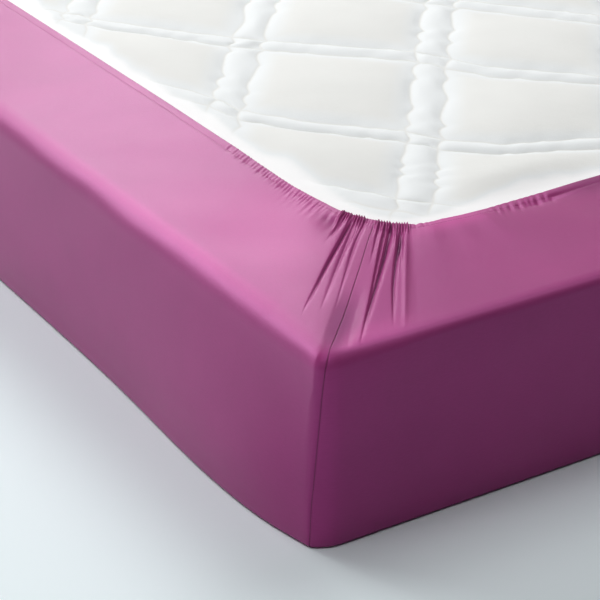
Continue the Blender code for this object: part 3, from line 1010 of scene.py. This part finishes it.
class BEDDING_OT_stage(bpy.types.Operator):
    """Adds the camera, the floor and the lights"""

    bl_idname = "bedding.stage"
    bl_label = "Camera and stage"

    def execute(self, context):
        settings = context.scene.bedding_stage
        camera = bpy.data.cameras.new("camera")
        camera.sensor_width = 36.0
        camera.lens = LENS
        camera.clip_start = 0.05
        camera.clip_end = 60.0
        eye = add_object("camera", camera)
        eye.location = EYE
        sin_turn, cos_turn = sine_cosine(EYE_TURN)
        down, level = sine_cosine(EYE_DOWN)
        look = Vector((sin_turn * level, cos_turn * level, -down))
        eye.rotation_euler = look.to_track_quat("-Z", "Y").to_euler()
        context.scene.camera = eye

        bpy.ops.object.select_all(action="DESELECT")
        bpy.ops.mesh.primitive_plane_add(size=FLOOR_SIZE, location=(0, 0, FLOOR_LEVEL))
        floor = context.active_object
        floor.name = "floor"
        bpy.ops.object.transform_apply(location=True, rotation=True, scale=True)
        floor.data.materials.append(pale_floor(settings))

        key, fill = settings.key_power, settings.fill_power
        wide, small = (3.0, 2.33), (1.5, 1.33)
        # Each light's name, the direction toward it in degrees, round from the far side and
        # up, its size in metres and its power
        lights = (
            ("front_left", -120, 72, wide, 1.11 * fill),
            ("back_right", 60, 60, wide, 1.33 * fill),
            ("front_right", 150, 60, wide, 0.06 * fill),
            ("upper_left", -30, 35, small, 0.42 * key),
            ("lower_left", -30, 24, small, 0.44 * key),
            ("left", -90, 15, small, 0.22 * key),
            ("back_left", -15, 35, small, 1.16 * key),
            ("low_back", 20, 24, small, 0.86 * key),
            ("right_back", 30, 35, small, 0.26 * key),
            ("low_right", 42, 14, small, 0.19 * key),
        )
        target = Vector(LIT_PLACE)
        for name, azimuth, elevation, size, power in lights:
            sin_turn, cos_turn = sine_cosine(azimuth)
            rise, level = sine_cosine(elevation)
            toward = Vector((sin_turn * level, cos_turn * level, rise))
            data = bpy.data.lights.new(name, "AREA")
            data.shape = "RECTANGLE"
            data.size, data.size_y = size
            data.energy = power
            lamp = add_object(name, data)
            lamp.location = target + LIGHT_DISTANCE * toward
            lamp.rotation_euler = (-toward).to_track_quat("-Z", "Y").to_euler()
        world = bpy.data.worlds.new("studio")
        world.use_nodes = True
        context.scene.world = world
        air = world.node_tree.nodes["Background"]
        air.inputs["Color"].default_value = (0.93, 0.96, 1.0, 1.0)
        air.inputs["Strength"].default_value = 0.02
        context.scene.view_settings.view_transform = "Standard"
        return {"FINISHED"}


class BEDDING_OT_mattress(bpy.types.Operator):
    """Builds the quilted mattress in place of its plain solid"""

    bl_idname = "bedding.mattress"
    bl_label = "Quilted mattress"

    def execute(self, context):
        settings = context.scene.bedding_mattress
        quilt = Quilting(settings)
        bm = bmesh.new()
        stitch = bm.verts.layers.float.new("stitch")
        white = bm.verts.layers.float.new("white")
        reach_x, reach_y = HEM_X + GRID_MARGIN, HEM_Y + GRID_MARGIN
        places = [quilt.cut_places(family) for family in (0, 1)]
        first, second = np.meshgrid(*places, indexing="ij")
        x, y = quilt.plan(first, second)
        rise, line, pale = quilt.shape(first, second)
        grid = {}
        for i, j in np.argwhere((np.abs(x) < reach_x) & (np.abs(y) < reach_y)).tolist():
            vert = grid[i, j] = bm.verts.new((x[i, j], y[i, j], rise[i, j]))
            vert[stitch], vert[white] = line[i, j], pale[i, j]
        for i, j in list(grid):
            corners = ((i, j), (i + 1, j), (i + 1, j + 1), (i, j + 1))
            if all(corner in grid for corner in corners):
                bm.faces.new([grid[corner] for corner in corners])
        cut_round(bm, HEM_X + FACE_MARGIN, HEM_Y + FACE_MARGIN, HEM_RADIUS + FACE_MARGIN, 6)
        bmesh.ops.remove_doubles(bm, verts=bm.verts, dist=0.0004)
        bmesh.ops.recalc_face_normals(bm, faces=bm.faces)
        x, y, z = np.array([vert.co[:] for vert in bm.verts]).T
        room = hem_room(x, y) - QUILT_CLEAR
        z = CASE_LEVEL + z * smooth(room / 0.060)
        # Beside the hem the face is level and whiter, a painted highlight, and the painted shade of
        # its stitch lines is fainter
        rim = 0.010 + 0.008 * waves(x, y, 0.16, 9) + 0.003 * waves(x, y, 0.05, 8)
        rim = 1 - smooth((room - rim) / 0.024)
        for vert, level, edge in zip(bm.verts, z, rim):
            vert.co.z = level
            vert[white] = max(vert[white], 2.0 * edge)
            vert[stitch] *= 1 - edge
        self.add_walls(bm)
        bmesh.ops.recalc_face_normals(bm, faces=bm.faces)
        mesh = bpy.data.meshes.new("mattress_ticking")
        bm.to_mesh(mesh)
        bm.free()
        mesh.shade_smooth()
        obj = add_object("mattress_ticking", mesh)
        mesh.materials.append(quilted_ticking(settings))
        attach(obj, "root")
        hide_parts("mattress")
        return {"FINISHED"}

    def add_walls(self, bm):
        """Carries the face's rim out under the band, down the walls and over the base."""
        half_x, half_y = MATTRESS_HALF
        inner_x, inner_y = HEM_X - HEM_RADIUS, HEM_Y - HEM_RADIUS
        outer_x, outer_y = half_x - MATTRESS_CORNER, half_y - MATTRESS_CORNER
        ring = [edge for edge in bm.edges if edge.is_boundary]
        if not ring:
            raise RuntimeError("the quilted face has no rim to carry the walls")
        # For each vertex of the rim: its place, the matching place on the walls' core, and the
        # direction out from there
        start = {}
        for edge in ring:
            for vert in edge.verts:
                core_x = max(min(vert.co.x, inner_x), -inner_x)
                core_y = max(min(vert.co.y, inner_y), -inner_y)
                away = math.hypot(vert.co.x - core_x, vert.co.y - core_y)
                start[vert] = (
                    vert.co.x,
                    vert.co.y,
                    core_x * outer_x / inner_x,
                    core_y * outer_y / inner_y,
                    (vert.co.x - core_x) / away,
                    (vert.co.y - core_y) / away,
                )
        flat = MATTRESS_CORNER - MATTRESS_EDGE
        # Rows from the rim to the base: share of the way out, reach from the core and height
        rows = [(0.5, flat, CASE_LEVEL), (1.0, flat, CASE_LEVEL)]
        for turn in (22.5, 45, 67.5, 90):
            side, up = sine_cosine(turn)
            height = CASE_LEVEL - MATTRESS_EDGE * (1 - up)
            rows.append((1.0, flat + MATTRESS_EDGE * side, height))
        for height in (0.130, 0.070):
            rows.append((1.0, MATTRESS_CORNER, height))
        for turn in (0, 45, 90):
            down, side = sine_cosine(turn)
            height = MATTRESS_BASE + MATTRESS_EDGE * (1 - down)
            rows.append((1.0, flat + MATTRESS_EDGE * side, height))
        for share, reach, height in rows:
            made = bmesh.ops.extrude_edge_only(bm, edges=ring)["geom"]
            ring = [
                part for part in made if isinstance(part, bmesh.types.BMEdge) and part.is_boundary
            ]
            following = {}
            for vert in {vert for edge in ring for vert in edge.verts}:
                others = (edge.other_vert(vert) for edge in vert.link_edges)
                old = next(other for other in others if other in start)
                x, y, core_x, core_y, out_x, out_y = start[old]
                swell = float(wall_swell(core_y, height, out_x))
                end_x = core_x + out_x * (reach + swell)
                end_y = core_y + out_y * (reach + swell)
                vert.co = (x + (end_x - x) * share, y + (end_y - y) * share, height)
                following[vert] = start[old]
            start = following
        bmesh.ops.contextual_create(bm, geom=ring)


class BEDDING_OT_stitching(bpy.types.Operator):
    """Sews the corner seams and the hem's casing with stitches of thread"""

    bl_idname = "bedding.stitching"
    bl_label = "Stitching"

    def execute(self, context):
        settings = context.scene.bedding_sheet
        points, marks, _ = whole_loop(settings.pleat_scale, settings.ruche_scale)
        seams = []
        for column in np.flatnonzero(marks == SEAM_AT):
            path = points[SEAM_ROW:-2, column]
            # Out from the corner on the wall, and up on the band
            outward = path * (1.0, 1.0, 0.0) - np.sign(path) * (HALF_X - 0.1, HALF_Y - 0.1, 0.0)
            outward[: FOLD_ROW - SEAM_ROW] = (0.0, 0.0, 1.0)
            outward /= np.linalg.norm(outward, axis=1)[:, None]
            seams.append(path + THREAD_LIFT * outward)
        if not seams:
            raise RuntimeError("no line of the cloth's points lies on a corner seam")
        dark = sewing_thread(settings, "dark_plum_thread", 0.30)
        self.sew(context, "corner_stitching", seams, dark)
        hem = points[CASING_ROW]
        plum = sewing_thread(settings, "plum_thread", 0.9)
        self.sew(context, "hem_stitching", [np.append(hem, hem[:1], 0)], plum)
        return {"FINISHED"}

    def sew(self, context, name, paths, material):
        """Models one stitch and lays copies of it end to end along each path."""
        middle = (STITCH_PITCH / 2, 0, 0)
        made = []
        for path in paths:
            bpy.ops.object.select_all(action="DESELECT")
            bpy.ops.mesh.primitive_cylinder_add(
                vertices=6,
                radius=THREAD_RADIUS,
                depth=STITCH_LENGTH,
                end_fill_type="NOTHING",
                rotation=(0, math.pi / 2, 0),
                location=middle,
            )
            stitch = context.active_object
            bpy.ops.object.transform_apply(location=True, rotation=True, scale=True)
            bpy.ops.object.mode_set(mode="EDIT")
            bpy.ops.mesh.select_all(action="SELECT")
            bpy.ops.mesh.region_to_loop()
            bpy.ops.mesh.extrude_region_move()
            bpy.ops.transform.resize(value=(1.15, 0.3, 0.3), center_override=middle)
            bpy.ops.mesh.edge_face_add()
            bpy.ops.object.mode_set(mode="OBJECT")
            guide_data = bpy.data.curves.new("guide", "CURVE")
            guide_data.dimensions = "3D"
            line = guide_data.splines.new("POLY")
            line.points.add(len(path) - 1)
            line.points.foreach_set("co", np.append(path, np.ones((len(path), 1)), 1).ravel())
            guide = add_object("guide", guide_data)
            row = stitch.modifiers.new("row", "ARRAY")
            row.fit_type = "FIT_CURVE"
            row.curve = guide
            row.use_relative_offset = False
            row.use_constant_offset = True
            row.constant_offset_displace = (STITCH_PITCH, 0, 0)
            bend = stitch.modifiers.new("follow", "CURVE")
            bend.object = guide
            bpy.ops.object.modifier_apply(modifier="row")
            bpy.ops.object.modifier_apply(modifier="follow")
            bpy.data.objects.remove(guide)
            made.append(stitch)
        bpy.ops.object.select_all(action="DESELECT")
        for stitch in made:
            stitch.select_set(True)
        context.view_layer.objects.active = made[0]
        if len(made) > 1:
            bpy.ops.object.join()
        thread = context.active_object
        thread.name = name
        thread.data.name = name
        bpy.ops.object.shade_smooth()
        thread.data.materials.append(material)
        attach(thread, "root")


class BEDDING_OT_sheet(bpy.types.Operator):
    """Builds the fitted sheet's cloth in place of its plain shell"""

    bl_idname = "bedding.sheet"
    bl_label = "Fitted sheet"

    def execute(self, context):
        settings = context.scene.bedding_sheet
        for name in ("mattress_ticking", "corner_stitching", "hem_stitching"):
            if name not in bpy.data.objects:
                raise RuntimeError(f"{name} has to be built before the sheet")
        points, marks, levels = whole_loop(settings.pleat_scale, settings.ruche_scale)
        number, faces = loop_faces(levels, len(points))
        used = number >= 0
        mesh = bpy.data.meshes.new("sheet_cloth")
        mesh.from_pydata(points[used].tolist(), [], faces)
        mesh.update()
        obj = add_object("sheet_cloth", mesh)
        bm = bmesh.new()
        bm.from_mesh(mesh)
        bmesh.ops.recalc_face_normals(bm, faces=bm.faces)
        bm.faces.ensure_lookup_table()
        if bm.faces[len(faces) - 1].normal.z > 0:
            bmesh.ops.reverse_faces(bm, faces=bm.faces)
        bm.to_mesh(mesh)
        bm.free()
        mesh.shade_smooth()
        self.add_cloth_map(mesh, points, used)
        # Darker along the corner seam: the seam's joint, and painted shade in its dent
        seam_joint_and_shade = np.tile(bell(marks, SEAM_AT, 0.0004), (len(points), 1))
        seam_joint_and_shade[: SEAM_ROW + 1] = 0.0
        mesh.attributes.new("seam_joint_and_shade", "FLOAT", "POINT").data.foreach_set("value", seam_joint_and_shade[used])
        # Painted shade in the creases, and painted highlights and shade, carried as the "tone"
        # attribute
        tone = paint_light_and_shade(points, marks)
        mesh.attributes.new("tone", "FLOAT", "POINT").data.foreach_set("value", tone[used])
        mesh.materials.append(cotton_satin(settings))
        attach(obj, "root")
        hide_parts("sheet")
        return {"FINISHED"}

    def add_cloth_map(self, mesh, points, used):
        """Lays the cloth out in metres: round the outline, and from the hem to the floor. The
        panel on the floor keeps its own places.
        """
        columns = points.shape[1]
        fold = points[FOLD_ROW + 1]
        around = np.linalg.norm(np.roll(fold, -1, 0) - fold, axis=1)
        around = np.concatenate(([0.0], np.cumsum(around)))
        down = np.linalg.norm(np.diff(points, axis=0), axis=2).mean(1)
        down = np.concatenate(([0.0], np.cumsum(down)))
        rows, places = np.nonzero(used)
        layer = mesh.uv_layers.new(name="cloth")
        corner_of = np.zeros(len(mesh.loops), np.int64)
        mesh.loops.foreach_get("vertex_index", corner_of)
        column, row = places[corner_of], rows[corner_of]
        u, v = around[column], down[row]
        for face in mesh.polygons:
            part = slice(face.loop_start, face.loop_start + face.loop_total)
            if face.loop_total > 200:  # the one face of the floor panel
                u[part] = points[used][corner_of[part], 0]
                v[part] = points[used][corner_of[part], 1]
            elif column[part].max() - column[part].min() > columns / 2:
                u[part] = np.where(column[part] < columns / 2, u[part] + around[-1], u[part])
        layer.data.foreach_set("uv", np.stack([u, v], 1).ravel())


class BEDDING_PT_panel(bpy.types.Panel):
    """Lists the pieces and their settings"""

    bl_label = "Fitted sheet"
    bl_idname = "BEDDING_PT_panel"
    bl_space_type = "VIEW_3D"
    bl_region_type = "UI"
    bl_category = "Bedding"

    def draw(self, context):
        layout = self.layout
        scene = context.scene
        sheet_names = ("colour", "pleat_scale", "ruche_scale")
        for group, names, operators in (
            (scene.bedding_stage, ("floor_colour", "key_power", "fill_power"), ("bedding.stage",)),
            (scene.bedding_mattress, ("colour", "pitch", "pair", "puff"), ("bedding.mattress",)),
            (scene.bedding_sheet, sheet_names, ("bedding.stitching", "bedding.sheet")),
        ):
            box = layout.box()
            for name in names:
                box.prop(group, name)
            for operator in operators:
                box.operator(operator)


CLASSES = (
    SheetSettings,
    MattressSettings,
    StageSettings,
    BEDDING_OT_stage,
    BEDDING_OT_mattress,
    BEDDING_OT_stitching,
    BEDDING_OT_sheet,
    BEDDING_PT_panel,
)


def register():
    for item in CLASSES:
        bpy.utils.register_class(item)
    bpy.types.Scene.bedding_sheet = bpy.props.PointerProperty(type=SheetSettings)
    bpy.types.Scene.bedding_mattress = bpy.props.PointerProperty(type=MattressSettings)
    bpy.types.Scene.bedding_stage = bpy.props.PointerProperty(type=StageSettings)


def unregister():
    del bpy.types.Scene.bedding_sheet
    del bpy.types.Scene.bedding_mattress
    del bpy.types.Scene.bedding_stage
    for item in reversed(CLASSES):
        bpy.utils.unregister_class(item)


def main():
    register()
    bpy.ops.bedding.stage()
    bpy.ops.bedding.mattress()
    bpy.ops.bedding.stitching()
    bpy.ops.bedding.sheet()


if __name__ == "__main__":
    main()
